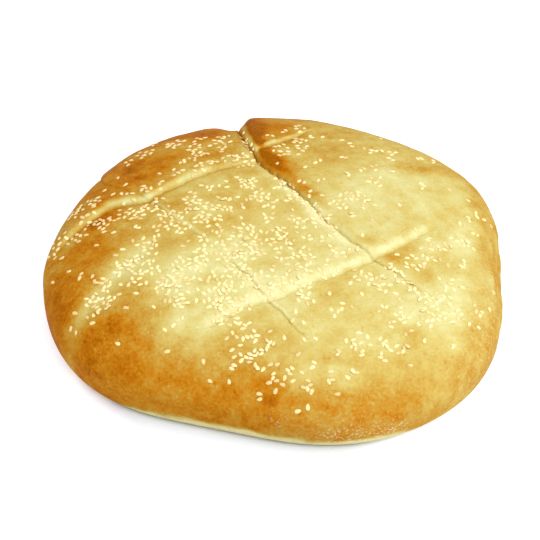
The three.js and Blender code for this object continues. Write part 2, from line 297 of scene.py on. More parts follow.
# The oven: steam lifted the dough unevenly, so the crust has broad lumps, a soft valley on the left
# where a fold never closed, a low crease at the back, creases where the right edge dried, and a sag
# beside the notch that the long slash makes in the back edge.
LUMPS = [(46, 0.8, 11), (19, 0.45, 12), (7, 0.14, 13), (2.8, 0.07, 14)]  # size, height, seed
# Rows of a path: x, y, depth, reach
LEFT_VALLEY = [
    (-107, -82, 0, 6), (-101, -70, 0.5, 6), (-91, -52, 1.3, 7), (-85, -44, 1.5, 7), (-75, -31, 1.4, 8),
    (-63, -16, 1, 8), (-48, -6, 0, 8),
]
BACK_CREASE = [(56, 58, 0, 3), (70, 54, -0.5, 3.5), (88, 54, -0.6, 3.5), (108, 64, 0, 3)]
NOTCH_SAG = [(-23, 124, 3.2, 7.5), (-23, 108, 3.2, 7.5), (-22, 96, 1, 7), (-19, 84, 0, 6)]
RELIEF_HEIGHTS = (3, 14)  # the relief comes in between these heights above the underside
LIP_PLACE = (2, 1.7)  # a bulging lip hangs over its groove this far from it, in a bell of this reach
LEAN = 0.9  # and this far, where its step is LEAN_STEP high or more
LEAN_STEP = 3
CREASE_SIZE = (3.2, 15)  # the creases of the right edge: how far apart and how long
CREASE_SLANT = 0.08
CREASE_SEED = 21
CREASE_FOLD = 0.4  # where their valleys fold
CREASE_DEPTH = 1.7
CREASE_SECTOR = (-2, 24)  # their middle and reach round the loaf, in degrees
CREASE_HEIGHT = (23.5, 14)  # and their middle and reach in height


def nearest(path, x, y):
    """Distance to a path of straight pieces, and the path's own values at its nearest place."""
    away = np.full(x.shape, np.inf)
    values = np.zeros(x.shape + (len(path[0]) - 2,))
    rows = np.array(path, float)
    for start, end in zip(rows[:-1], rows[1:]):
        run = end[:2] - start[:2]
        share = np.clip(((x - start[0]) * run[0] + (y - start[1]) * run[1]) / (run @ run), 0, 1)
        distance = np.hypot(x - start[0] - share * run[0], y - start[1] - share * run[1])
        nearer = (distance < away)[..., None]
        values = np.where(nearer, start[2:] + share[..., None] * (end[2:] - start[2:]), values)
        away = np.minimum(distance, away)
    return away, values


def hollow(path, x, y):
    """A soft hollow along a path, or a ridge where its depth is less than 0: a bell across it."""
    away, values = nearest(path, x, y)
    return values[..., 0] * bell(away, 0, values[..., 1])


def right_creases(x, z, angle):
    """Creases that run round the right edge: long thin lumps on the height and the way round, folded
    so that their valleys are sharp."""
    round_way = angle * MEAN_RADIUS
    walk = np.stack([z / CREASE_SIZE[0] + CREASE_SLANT * x, round_way / CREASE_SIZE[1], 0 * z], axis=-1)
    fold = np.abs(mottle(walk, 1, CREASE_SEED)) - CREASE_FOLD
    return fold * bell(np.degrees(angle), *CREASE_SECTOR) * bell(z, *CREASE_HEIGHT)


def between(value, ends):
    """0 up to the first of two ends, 1 from the second on, and smooth between them."""
    return smooth((value - ends[0]) / (ends[1] - ends[0]))


def slope_at(place):
    """Run and rise of the side view over a short stretch round a place on it."""
    inner, outer = np.maximum(place - 2 / DOME_STEPS, 0), np.minimum(place + 2 / DOME_STEPS, 1)
    return [
        np.interp(outer, SIDE_PLACE, column) - np.interp(inner, SIDE_PLACE, column)
        for column in (SIDE_RADIUS, SIDE_Z)
    ]


def crust_surface(u, v):
    """The crust over straight board places: bent board, disc, side view and outline, pushed out along
    the dome's own slope by the relief. Gives the points and what the colours need."""
    a, b = bent(u, v)
    cuts = [cut(line, b, a) for line, _ in (long_slash, left_slash)]
    cuts += [cut(line, a, b) for line, _ in (back_slash, front_slash)]
    lean = [
        LEAN * sizes[..., 3] * bell(distance, *LIP_PLACE) * np.minimum(sizes[..., 2] / LEAN_STEP, 1)
        for distance, sizes in cuts
    ]
    a = np.clip(a - (lean[0] + lean[1]) / SIDE_LENGTH, -1, 1)
    b = np.clip(b - (lean[2] + lean[3]) / SIDE_LENGTH, -1, 1)
    p, q = disc_of(a, b)
    place = np.minimum(np.hypot(p, q), 1)
    angle = np.arctan2(q, p) + math.radians(BOARD_DEGREES)
    columns = (SIDE_REACH, SIDE_TUCK, SIDE_Z)
    reach, tuck, height = (np.interp(place, SIDE_PLACE, column) for column in columns)
    radius = outline_radius(angle) * reach - tuck

    def at(distance, z):
        """Points at a distance from the dome's centre, along each place's own direction."""
        return np.stack([
            DOME_CENTRE[0] + distance * np.cos(angle), DOME_CENTRE[1] + distance * np.sin(angle), z,
        ], axis=-1)

    plain = at(radius, height)
    x, y = plain[..., 0], plain[..., 1]
    relief = sum(section(distance, sizes) for distance, sizes in cuts)
    relief = relief - sum(hollow(path, x, y) for path in (LEFT_VALLEY, BACK_CREASE, NOTCH_SAG))
    relief = relief + mottling(plain, LUMPS)
    turned = (angle + math.pi) % (2 * math.pi) - math.pi
    creases = right_creases(x, height, turned)
    relief = relief + CREASE_DEPTH * creases
    run, rise = slope_at(place)
    push = relief * between(height, RELIEF_HEIGHTS) / np.hypot(run, rise)
    return at(radius - push * rise, height + push * run), cuts, turned, creases


# The crust: one skin over the whole loaf, closed by the flat underside that lay on the hearth. Its
# grid lines run along the slashes and close up beside them, where the skin bends most.
LINE = 1.2  # spacing of the grid lines
FINE_LINE = 0.42  # and beside a slash
CLOSE_UP = 7  # how far from a slash they close up
SPACING_STEPS = 6000
UNDERSIDE_RINGS = 4


def grid_lines(slashes):
    """Places of the grid lines from -1 to 1: the running total of 1 over the spacing, read back at
    whole numbers. The spacing dips in a bell beside each slash."""
    fine = np.linspace(-1, 1, SPACING_STEPS + 1)
    near = np.max([bell(fine * SIDE_LENGTH, rest * SIDE_LENGTH, CLOSE_UP) for _, rest in slashes], axis=0)
    density = SIDE_LENGTH / (LINE - (LINE - FINE_LINE) * near)
    total = np.concatenate([[0], np.cumsum((density[1:] + density[:-1]) / 2 * np.diff(fine))])
    return np.interp(np.linspace(0, total[-1], int(total[-1]) + 1), total, fine)


def grid_faces(us, vs):
    """Two triangles for each cell of the grid, split towards the middle of the board."""
    n, m = len(us), len(vs)
    corner = np.arange(m - 1)[:, None] * n + np.arange(n - 1)
    a, b, c, d = corner, corner + 1, corner + 1 + n, corner + n
    towards = ((us[:-1] + us[1:]) * (vs[:-1] + vs[1:])[:, None] > 0)[..., None]
    first = np.where(towards, np.stack([a, b, c], -1), np.stack([a, b, d], -1))
    second = np.where(towards, np.stack([a, c, d], -1), np.stack([b, c, d], -1))
    return np.concatenate([first.reshape(-1, 3), second.reshape(-1, 3)])


def rim_of(n, m):
    """Numbers of the grid's edge points, once round."""
    across, up = np.arange(n - 1), np.arange(m - 1)
    return np.concatenate([across, up * n + n - 1, (m - 1) * n + n - 1 - across, (m - 1 - up) * n])


def band_faces(a, b, c, d):
    """Two triangles for each four-sided cell with the corners a, b, c and d."""
    return np.concatenate([np.stack([a, b, c], -1).reshape(-1, 3), np.stack([a, c, d], -1).reshape(-1, 3)])


def underside(points, rim, middle):
    """Rings from the rim to the middle, each a smaller copy of the rim, and a fan round the middle
    point: the new points and the faces, which look down."""
    count = len(rim)
    shares = np.arange(1, UNDERSIDE_RINGS + 1) / (UNDERSIDE_RINGS + 1)
    edge = points[rim]
    rings = edge[None] + (middle - edge)[None] * shares[:, None, None]
    added = len(points) + np.arange(UNDERSIDE_RINGS * count).reshape(-1, count)
    numbers = np.concatenate([rim[None], added])
    beside = np.roll(numbers, -1, axis=1)
    bands = band_faces(numbers[:-1], numbers[1:], beside[1:], beside[:-1])
    last = len(points) + UNDERSIDE_RINGS * count
    fan = np.stack([np.full(count, last), np.roll(numbers[-1], -1), numbers[-1]], -1)
    return np.concatenate([rings.reshape(-1, 3), middle[None]]), np.concatenate([bands, fan])


def make_piece(name, points, faces, **marks):
    """A smooth mesh object from points in millimetres and triangles, with one number for each point
    under each mark's name."""
    mesh = bpy.data.meshes.new(name)
    mesh.from_pydata((points * MM).tolist(), [], faces.tolist())
    mesh.polygons.foreach_set("use_smooth", np.ones(len(faces), bool))
    for mark, values in marks.items():
        mesh.attributes.new(mark, "FLOAT", "POINT").data.foreach_set("value", values.astype(np.float32))
    mesh.update()
    piece = bpy.data.objects.new(name, mesh)
    bpy.context.scene.collection.objects.link(piece)
    return piece


us, vs = grid_lines([left_slash, long_slash]), grid_lines([front_slash, back_slash])
skin, cuts, round_loaf, creases = crust_surface(*np.meshgrid(us, vs))
skin_faces = grid_faces(us, vs)
skin_points = skin.reshape(-1, 3)
middle_point = np.array([*DOME_CENTRE, 0.0])
floor_points, floor_faces = underside(skin_points, rim_of(len(us), len(vs)), middle_point)
crust_points = np.concatenate([skin_points, floor_points])
crust_faces = np.concatenate([skin_faces, floor_faces])

# The baking: the oven was hottest on the left and at the back, and browned what stood out, such as the
# shoulders and the lips of the slashes. Walls that tore open late and the valley stayed pale. The foot
# just above the hearth is pale, and made paler still as painted light that stands in for the floor's
# bounce. Painted shade is added too: a dark line along the bottom of each groove, darker valleys in the
# creases of the right edge, and a dark edge at the very foot where the loaf meets the floor. The tone
# runs from 0, the palest cream, to 1, the deepest brown.
TOP_TONE = 0.3
# Tone of the side, by direction in degrees: +X is 0, the back is 90
SIDE_TONES = np.array([
    (-180, 0.66), (-160, 0.84), (-135, 0.82), (-115, 0.74), (-95, 0.77), (-84, 0.67), (-73, 0.68),
    (-64, 0.67), (-50, 0.5), (-35, 0.54), (-20, 0.53), (0, 0.5), (30, 0.48), (50, 0.53), (70, 0.66),
    (85, 0.93), (100, 1), (120, 0.94), (145, 0.84), (160, 0.8), (173, 0.62), (180, 0.66),
], float)
SIDE_SHARES = (0.8, 0.99)  # shares of the outline radius between which the side's tone comes in
SIDE_LEAST = 0.8  # the side is never paler than this share of the top beside it
# Rows: x, y, reach one way and the other, turn in degrees, change of tone
BROWNED = [
    (-100, -10, 34, 50, 0, 0.5),  # left shoulder
    (-90, -78, 42, 24, -49, 0.46),  # front-left shoulder
    (-80, 56, 24, 20, 30, 0.43),  # lobe behind the back slash
    (-66, 42, 16, 8, 20, 0.2),
    (-56, 62, 22, 14, 20, 0.24),
    (-30, 76, 22, 18, 10, 0.24),
    (-46, 94, 40, 12, 12, 0.46),
    (-10, 86, 9, 26, 8, 0.66),  # lobe beside the notch
    (10, 92, 14, 12, -10, 0.3),
    (12, 73, 12, 5, 40, 0.22),
    (-5, 57, 4, 6, 0, 0.3),  # fold where the hook meets the long slash
    (2, 50, 6, 10, 30, 0.3),  # lip of the long slash
    (30, 68, 32, 24, 0, 0.22),
    (82, 52, 22, 3.6, 8, 0.2),  # back crease
    (92, 60, 16, 10, 30, 0.1),
    (42, 90, 20, 9, -20, 0.08),
    (60, -28.5, 8, 5, 20, 0.28),  # below the right crossing
    (70, -19, 7, 4, 40, 0.1),
    (-53, 13, 8, 5, -40, 0.21),
    (-62, 22, 4, 5, 0, 0.16),
    (-34, -8, 8, 6, 0, 0.14),
    (-22, 20, 30, 20, 0, 0.13),
    (-57, -15, 14, 10, 0, 0.2),
    (-22, -92, 14, 7, 0, 0.12),
    (-8, -107, 22, 9, 0, 0.18),
    (30, -52, 12, 8, 30, 0.12),
    (-48, -44, 15, 13, -10, -0.16),  # palest parts of the middle
    (-28, -56, 30, 20, -10, -0.1),
    (-20, -30, 22, 10, 0, -0.12),
    (-60, -64, 14, 8, -40, 0.12),
    (-112, 2, 8, 9, 0, -0.2),
    (14, -44, 16, 8, 28, -0.1),
    (90, -60, 24, 22, 0, -0.12),
    (60, -78, 24, 16, 0, -0.04),
    (96, -10, 12, 16, 0, -0.1),
    (66, -92, 40, 24, 0, 0.08),
    (0, -95, 34, 14, 0, 0.05),
    (50, 14, 20, 24, 0, -0.07),
    (34, -8, 12, 20, 30, -0.12),
    # smaller ones at the left end
    (-116, -9, 4, 5, 0, -0.12), (-112, -20, 5, 5, 0, 0.08), (-109, -59, 6, 6, 0, 0.08),
    (-108, -58, 10, 9, 0, 0.08), (-107, 12, 6, 7, 0, -0.16), (-104, -2, 5, 6, 0, -0.1),
    (-97, -67, 11, 9, 0, -0.24), (-97, -34, 6, 5, 0, -0.07), (-95, 28, 9, 6, 20, 0.12),
    (-94, -67, 7, 6, 0, -0.09), (-93, 8, 8, 6, 20, 0.34), (-91, -37, 6, 4, 0, 0.08),
    (-90, -51, 5, 4, 0, -0.08), (-90, 2, 12, 5, 0, -0.08), (-90, 25, 10, 6, 30, 0.1),
    (-90, 38, 10, 6, 0, 0.1), (-89, -44, 6, 5, 0, 0.08), (-88, -84, 8, 6, 0, 0.1),
    (-86, -31, 10, 6, 0, -0.09), (-85, 15, 8, 4, 0, 0.14), (-84, -55, 7, 5, 0, -0.14),
    (-84, -10, 9, 7, 0, -0.09), (-78, -88, 26, 14, -40, 0.07), (-76, 9, 12, 4, 10, -0.05),
    (-72, -70, 8, 7, 0, 0.1), (-72, 40, 10, 5, 0, 0.1), (-70, -51, 6, 5, 0, 0.12),
    (-65, 13, 3, 6, 30, 0.08), (-64, -79, 6, 8, 0, 0.12), (-64, -36, 7, 8, 0, -0.1),
    (-63, -38, 5, 6, 0, -0.07), (-63, -4, 6, 5, 0, -0.08),
    # at the front
    (-56, -66, 5, 9, 0, 0.07), (-55, -101, 14, 6, -15, 0.07), (-54, -61, 5, 4, 0, 0.06),
    (-50, -104, 10, 7, 0, 0.08), (-50, -86, 14, 8, 0, 0.07), (-47, -72, 9, 5, 20, -0.13),
    (-41, -87, 4, 4, 0, 0.08), (-34, -79, 10, 6, 0, -0.18), (-24, -83, 5, 6, 0, 0.1),
    (-24, -62, 6, 12, 0, -0.06), (-22, -88, 5, 6, 0, 0.07), (-20, -80, 4, 7, 0, 0.08),
    (-17, -91, 8, 6, 0, 0.08), (-16, -81, 6, 4, 0, 0.04), (-12, -102, 6, 5, 0, 0.12),
    (-12, -95, 8, 3, 10, -0.04), (-4, -71, 9, 5, 10, 0.14), (-2, -116, 7, 4, 0, 0.13),
    (-1, -116, 5, 5, 0, 0.09), (-1, -80, 5, 6, 0, 0.1), (0, -83, 7, 5, 0, 0.09), (1, -114, 8, 7, 0, 0.55),
    (2, -72, 6, 8, 0, -0.05), (4, -90, 6, 7, 0, 0.06), (10, -109, 10, 4, 0, -0.07),
    (10, -107, 12, 5, 0, -0.13), (11, -118, 6, 6, 0, -0.2), (11, -80, 5, 5, 0, -0.08),
    (18, -107, 8, 6, 0, -0.08), (19, -86, 6, 6, 0, -0.08), (20, -92, 4, 6, 0, -0.08),
    (28, -98, 6, 4, 0, 0.08), (34, -99, 9, 4, 0, 0.12), (36, -109, 8, 7, 0, -0.28),
    (37, -90, 7, 4, 0, -0.07), (45, -88, 8, 5, 20, -0.11), (49, -69, 5, 5, 0, 0.08),
    (51, -95, 5, 6, 0, -0.05), (54, -112, 9, 6, 0, -0.26), (57, -106, 6, 5, 0, -0.08),
    (57, -92, 5, 9, 0, -0.06), (61, -97, 5, 6, 0, 0.09), (61, -96, 4, 5, 0, 0.06),
    (66, -70, 7, 5, 0, -0.08), (68, -106, 7, 5, 0, -0.1), (69, -82, 6, 7, 0, 0.1),
    (71, -91, 7, 6, 0, 0.06), (90, -86, 10, 8, 30, -0.3),
    # in the middle
    (-60, -14, 9, 10, 0, 0.14), (-60, 27, 3, 4, 0, 0.08), (-60, 33, 10, 7, 0, 0.09),
    (-57, 32, 12, 4, 45, 0.1), (-56, -3, 7, 6, 0, 0.06), (-53, -51, 7, 5, 0, -0.06),
    (-48, 8, 6, 6, 0, 0.1), (-41, -6, 12, 5, -45, -0.05), (-40, -18, 4, 7, 0, -0.07),
    (-36, 2, 6, 8, 0, -0.08), (-35, -48, 9, 5, 20, 0.07), (-33, -12, 5, 5, 0, 0.12),
    (-32, 42, 8, 8, 30, 0.12), (-26, -5, 16, 5, 0, 0.05), (-24, 6, 5, 5, 0, -0.08),
    (-20, -3, 9, 7, 0, 0.11), (-18, 32, 8, 9, 0, -0.08), (-14, 44, 12, 7, 20, 0.12),
    (-12, -22, 5, 9, 0, -0.07), (-8, 18, 5, 6, 0, -0.12), (-4, -50, 14, 6, 0, -0.1),
    (-4, 36, 6, 6, 0, 0.08), (1, -39, 6, 6, 0, 0.08), (1, -9, 6, 6, 0, -0.08), (5, 9, 5, 6, 0, 0.08),
    (9, -19, 5, 8, 0, 0.07), (16, -52, 9, 4, 30, -0.1), (22, -54, 10, 6, 20, -0.06),
    (22, 7, 10, 3, -58, -0.14), (31, 29, 6, 5, 0, 0.1), (34, -30, 5, 6, 0, -0.12),
    (36, -4, 5, 10, 30, 0.12), (38, 14, 7, 6, 0, -0.1),
    # on the right
    (47, -46, 9, 7, 0, -0.1), (47, -19, 6, 4, 30, 0.14), (49, -10, 6, 5, 0, -0.11),
    (50, -27, 6, 5, 0, -0.12), (50, 36, 6, 6, 0, 0.05), (51, -30, 5, 4, 0, -0.1),
    (52, -42, 7, 4, 30, 0.1), (53, -18, 7, 4, 30, -0.08), (54, 15, 8, 6, 0, 0.06),
    (57, 41, 8, 7, 0, -0.12), (60, -43, 6, 5, 0, -0.03), (62, 38, 10, 5, 0, -0.06),
    (63, 25, 5, 6, 0, 0.07), (68, -20, 6, 4, 30, 0.08), (70, -21, 10, 5, 0, 0.07),
    (72, -37, 8, 6, 0, 0.08), (75, 0, 45, 60, 0, -0.03), (77, -41, 7, 6, 0, 0.18),
    (79, 21, 8, 7, 0, -0.07), (82, -49, 12, 6, 10, -0.08), (88, -31, 5, 7, 0, 0.08),
    (88, -9, 6, 6, 0, 0.07), (88, 26, 5, 9, 0, -0.06), (89, -30, 9, 8, 0, 0.06), (98, 18, 5, 7, 0, 0.08),
    (98, 40, 8, 6, 0, -0.08), (101, -10, 9, 12, 0, -0.1), (109, -3, 8, 13, 0, -0.14),
    # and at the back
    (-71, 70, 9, 7, 0, -0.08), (-67, 77, 6, 5, 0, 0.08), (-66, 81, 10, 6, 20, 0.15),
    (-47, 78, 6, 6, 0, 0.09), (-40, 55, 12, 3, 30, 0.07), (-40, 66, 5, 7, 0, -0.12),
    (-38, 57, 8, 4, 20, 0.08), (-37, 58, 8, 5, 20, 0.07), (-34, 88, 8, 8, 0, 0.13),
    (-32, 82, 4, 6, 0, 0.08), (-31, 53, 8, 3, 10, -0.09), (-30, 72, 6, 6, 0, -0.14),
    (-26, 63, 8, 9, 0, 0.13), (-19, 55, 4, 5, 0, -0.05), (-15, 97, 3, 8, 15, 0.13),
    (-12, 84, 4, 16, 12, 0.1), (-7, 52, 3, 8, 25, -0.12), (-7, 66, 4, 6, 0, 0.12),
    (-6, 53, 4, 6, 20, -0.1), (-3, 74, 4, 6, 0, -0.15), (1, 51, 5, 7, 20, 0.05), (2, 52, 5, 4, 0, 0.06),
    (3, 93, 6, 6, 0, 0.2), (6, 75, 10, 2.5, 40, 0.07), (6, 75, 12, 3, 35, 0.09), (6, 78, 6, 11, 0, 0.12),
    (6, 79, 12, 3, 42, -0.04), (8, 67, 8, 6, 30, -0.09), (9, 46, 13, 5, -56, 0.15),
    (20, 84, 6, 9, 0, -0.07), (24, 75, 14, 5, 0, -0.08), (38, 90, 8, 5, 0, 0.07),
    (41, 55, 8, 9, 0, -0.09), (42, 74, 14, 5, 0, -0.06), (50, 78, 8, 7, 0, -0.06),
    (52, 71, 12, 5, 0, 0.11),
]
BROWN_LIP = (3, 4.4)  # place of the browned lip from the groove, and its reach
NEAR_EDGE = (-2, 3.5)  # the same of the pale edge on the near side of the long slash
NEAR_PALE = 0.26
VALLEY_PALE = 0.42
WALL_PALE = 0.85  # how far a torn wall goes towards the palest tone
TORN = (4.5, 0.3, 35)  # its mottling: size, share of the change, seed
GROOVE_SHADE_REACH = 0.5  # reach of the painted shade, a dark line along the bottom of a groove
# painted shade: how much darker the bottom of a deep groove is made
GROOVE_SHADE = 0.2
# painted shade: the creases' valleys are made darker and their ridges paler by this much
CREASE_SHADE = 0.3
# Height of the pale foot, along X
FOOT_HEIGHTS = np.array([(-90, 2.4), (-62, 7.6), (-34, 8.6), (-8, 8.2), (20, 9.2), (56, 7), (82, 3.8)])
FOOT_EDGE = [(13, 2.6, 34), (6, 0.9, 36)]  # its upper edge wavers: size, reach, seed
FOOT_FADE = 4.6
# the foot's pale tone is partly its own pale bake and partly painted light, paler to stand in for light
# bounced up from the floor
FOOT_TONE = 0.06
CONTACT_SHADE_HEIGHT = 1.8  # painted shade: the lowest edge of the foot is darkened up to this height, where the loaf meets the floor
# how much darker that painted shade makes the edge
CONTACT_SHADE_TONE = 0.24
UNDERSIDE_TONE = 0.56
UNDERSIDE_SHARES = (0.84, 0.96)  # shares of the radius between which it pales towards the foot
UNDERSIDE_FLOUR = 0.5
MOTTLING = [(24, 0.02, 31), (10, 0.085, 32), (4.6, 0.075, 33)]  # size, change of tone, seed
# Places dusted with flour and small blisters: x, y, z, reach, amount
FLOURED = [
    (36, -123, 10, 9, 0.7), (50, -121, 12, 9, 0.5), (24, -123, 11, 9, 0.4), (1, -119, 18, 6, 0.3),
    (60, -116, 10, 7, 0.6), (115, -45, 24, 24, 0.3), (106, -80, 24, 20, 0.3),
]


def patch(x, y, row):
    """One browned or pale patch: a bell on an ellipse, turned."""
    centre_x, centre_y, reach_x, reach_y, degrees, change = row
    turn = math.radians(degrees)
    along = (x - centre_x) * math.cos(turn) + (y - centre_y) * math.sin(turn)
    across = (y - centre_y) * math.cos(turn) - (x - centre_x) * math.sin(turn)
    return change * np.exp(-((along / reach_x) ** 2) - (across / reach_y) ** 2)


def baked_tone(points, cuts, angle, creases):
    """Tone of the skin: that of the top with its patches going over to that of the side, then the
    lips, the valley, the pale walls, painted shade along the grooves, painted shade in the crease
    valleys with paler ridges, mottling in three sizes, and last the pale foot, made paler as painted
    light, with painted shade along its lowest edge."""
    x, y, z = (points[..., k] for k in range(3))
    top = TOP_TONE + sum(patch(x, y, row) for row in BROWNED)
    reach = np.hypot(x - DOME_CENTRE[0], y - DOME_CENTRE[1]) / outline_radius(angle)
    side = through(SIDE_TONES, np.degrees(angle))[..., 0]
    tone = top + (np.maximum(side, top * SIDE_LEAST) - top) * between(reach, SIDE_SHARES)
    shown = between(z, RELIEF_HEIGHTS)
    for distance, sizes in cuts:
        tone = tone + sizes[..., 5] * bell(distance, *BROWN_LIP) * shown
    near_long, long_sizes = cuts[0]
    tone = tone - NEAR_PALE * bell(near_long, *NEAR_EDGE) * np.minimum(long_sizes[..., 2] / 2, 1) * shown
    away, valley = nearest(LEFT_VALLEY, x, y)
    tone = tone - VALLEY_PALE * np.minimum(valley[..., 0], 1) * bell(away, 0, valley[..., 1])
    torn = 1 + TORN[1] * mottle(points, TORN[0], TORN[2])
    for distance, sizes in cuts:
        tone = tone * (1 - np.minimum(WALL_PALE * torn, 1) * wall(distance, sizes) * shown)
        deep = np.minimum(sizes[..., 0] / 2, 1)
        # painted shade along the bottom of the groove
        tone = tone + GROOVE_SHADE * bell(distance, 0, GROOVE_SHADE_REACH) * deep * shown
    # painted shade in the crease valleys, paler on their ridges
    tone = tone - CREASE_SHADE * creases + mottling(points, MOTTLING)
    foot_height = through(FOOT_HEIGHTS, x)[..., 0] + mottling(points, FOOT_EDGE)
    foot = smooth((foot_height - z) / FOOT_FADE)
    # painted shade along the lowest edge, where the loaf meets the floor
    contact_shade = CONTACT_SHADE_TONE * smooth(1 - z / CONTACT_SHADE_HEIGHT)
    return np.clip(tone + (FOOT_TONE - tone) * foot + contact_shade, 0, 1)


def floured(points):
    """Amount of flour: a bell round each dusted place."""
    away = [(np.linalg.norm(points - row[:3], axis=-1), *row[3:]) for row in FLOURED]
    return np.clip(sum(amount * bell(distance, 0, reach) for distance, reach, amount in away), 0, 1)


skin_tone = baked_tone(skin, cuts, round_loaf, creases).reshape(-1)
share_under = np.hypot(*(floor_points - middle_point)[:, :2].T) / MEAN_RADIUS
floor_tone = UNDERSIDE_TONE + (FOOT_TONE - UNDERSIDE_TONE) * between(share_under, UNDERSIDE_SHARES)
floor_tone = np.clip(floor_tone + mottling(floor_points, MOTTLING), 0, 1)
crust_tone = np.concatenate([skin_tone, floor_tone])
crust_flour = np.concatenate([floured(skin_points), np.full(len(floor_points), UNDERSIDE_FLOUR)])
crust = make_piece("crust", crust_points, crust_faces, tone=crust_tone, flour=crust_flour)

# Colours of the crust as it browns
CRUST_COLOURS = [
    (0, "#e1d19c"), (0.15, "#c9c286"), (0.3, "#c1b067"), (0.45, "#b99c4d"),
    (0.6, "#b18733"), (0.75, "#af7315"), (0.9, "#a25c05"), (1, "#8c5000"),
]
FLOUR_COLOUR = "#e8d8bc"
# Grain of the colour: size, octaves, roughness, span of the noise, span of the tone that it gives
FINE_GRAIN = (1.7, 3, 0.5, 0.3, 0.7, -0.045, 0.045)
BROAD_GRAIN = (5.5, 3, 0.6, 0.3, 0.7, -0.04, 0.04)
PALE_SPECKS = (1.2, 1, 0.5, 0.63, 0.76, 0, -0.085)
FRECKLES = (3.4, 1, 0.5, 0.66, 0.78, 0, 0.09)
FLOUR_SPECKS = (1.3, 2, 0.5, 0.56, 0.68, 0, 0.75)  # this one gives a share of flour
BROWN_GRAIN = (0.35, 0.6, 1, 1.8)  # from the first tone to the second the grain gets this much stronger
CRUST_GLOSS = (0.2, 0.9, 0.75, 0.55)  # the same for the roughness
CRUST_IOR = 1.06
# Bumps of the skin: size, octaves, roughness, height, strength
SKIN_BUMP = (1.3, 3, 0.55, 0.22, 0.7)
PEBBLES = (4.5, 2, 0.5, 0.5, 0.6)


def colour(text):
    """Linear colour of a screen colour such as #c9a24d."""
    screen = np.array([int(text[k : k + 2], 16) for k in (1, 3, 5)]) / 255
    linear = np.where(screen <= 0.04045, screen / 12.92, ((screen + 0.055) / 1.055) ** 2.4)
    return (*linear.tolist(), 1)


def material(name):
    """A new material with nodes: the material, its tree and its shader."""
    made = bpy.data.materials.new(name)
    made.use_nodes = True
    return made, made.node_tree, made.node_tree.nodes["Principled BSDF"]


def fill(tree, target, inputs):
    """Sets a node's inputs, by name or number, to values or to other nodes' outputs."""
    for socket, value in inputs.items():
        if isinstance(value, bpy.types.NodeSocket):
            tree.links.new(value, target.inputs[socket])
        else:
            target.inputs[socket].default_value = value


def node(tree, kind, inputs, **settings):
    """A node of a kind, with its settings and its inputs."""
    made = tree.nodes.new(kind)
    for name, value in settings.items():
        setattr(made, name, value)
    fill(tree, made, inputs)
    return made


def place_on(tree):
    """The point's own place on the piece."""
    return node(tree, "ShaderNodeTexCoord", {}).outputs["Object"]


def ramp(tree, share, stops):
    """A colour ramp through the stops, read at a share."""
    made = node(tree, "ShaderNodeValToRGB", {"Fac": share})
    elements = made.color_ramp.elements
    while len(elements) < len(stops):
        elements.new(1)
    for element, (place, shade) in zip(elements, stops):
        element.position = place
        element.color = colour(shade)
    return made.outputs["Color"]


def noise(tree, place, size, detail, roughness):
    """Noise of one size in millimetres, from about 0.2 to 0.8 with 0.5 in the middle."""
    made = node(tree, "ShaderNodeTexNoise", {
        "Vector": place, "Scale": 1 / (size * MM), "Detail": detail, "Roughness": roughness,
    })
    return made.outputs["Fac"]


def reading(tree, value, low, high, start, end):
    """Value read from the span low to high onto the span start to end."""
    inputs = {"Value": value, "From Min": low, "From Max": high, "To Min": start, "To Max": end}
    return node(tree, "ShaderNodeMapRange", inputs).outputs["Result"]


def grain(tree, place, row):
    """Grain from a row of its sizes: noise, read onto the span that it gives."""
    return reading(tree, noise(tree, place, *row[:3]), *row[3:])


def plus(tree, first, *others):
    """The sum of two values or more."""
    for other in others:
        first = node(tree, "ShaderNodeMath", {0: first, 1: other}, operation="ADD").outputs[0]
    return first


def times(tree, first, second):
    """The product of two values."""
    return node(tree, "ShaderNodeMath", {0: first, 1: second}, operation="MULTIPLY").outputs[0]


def blend(tree, share, first, second):
    """The first colour going over to the second as the share goes from 0 to 1."""
    inputs = {"Factor": share, 6: first, 7: second}
    return node(tree, "ShaderNodeMix", inputs, data_type="RGBA").outputs[2]


def mark(tree, name):
    """A point's own number under a mark's name."""
    return node(tree, "ShaderNodeAttribute", {}, attribute_name=name).outputs["Fac"]


def bump(tree, place, row, inputs):
    """Bumps of noise from a row of their sizes, over the normal that the inputs may give."""
    height, strength = row[3:]
    own = {"Height": noise(tree, place, *row[:3]), "Distance": height * MM, "Strength": strength}
    return node(tree, "ShaderNodeBump", {**own, **inputs}).outputs["Normal"]


def crust_material():
    """Baked crust: the tone with grain, pale specks and small brown freckles through the ramp, the
    grain stronger where it is brown, flour specks over it, a dry satin gloss that is a little higher
    where it is brown, and a pebbled skin."""
    made, tree, shader = material("baked crust")
    place = place_on(tree)
    tone = mark(tree, "tone")
    uneven = plus(tree, *(grain(tree, place, row) for row in (FINE_GRAIN, BROAD_GRAIN, PALE_SPECKS)))
    uneven = times(tree, uneven, reading(tree, tone, *BROWN_GRAIN))
    tone = plus(tree, tone, uneven, grain(tree, place, FRECKLES))
    dusted = times(tree, grain(tree, place, FLOUR_SPECKS), mark(tree, "flour"))
    skin_bump = bump(tree, place, SKIN_BUMP, {})
    fill(tree, shader, {
        "Base Color": blend(tree, dusted, ramp(tree, tone, CRUST_COLOURS), colour(FLOUR_COLOUR)),
        "Roughness": reading(tree, tone, *CRUST_GLOSS),
        "Normal": bump(tree, place, PEBBLES, {"Normal": skin_bump}),
        "IOR": CRUST_IOR,
    })
    return made


crust.data.materials.append(crust_material())
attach(crust, "root")
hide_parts("loaf")

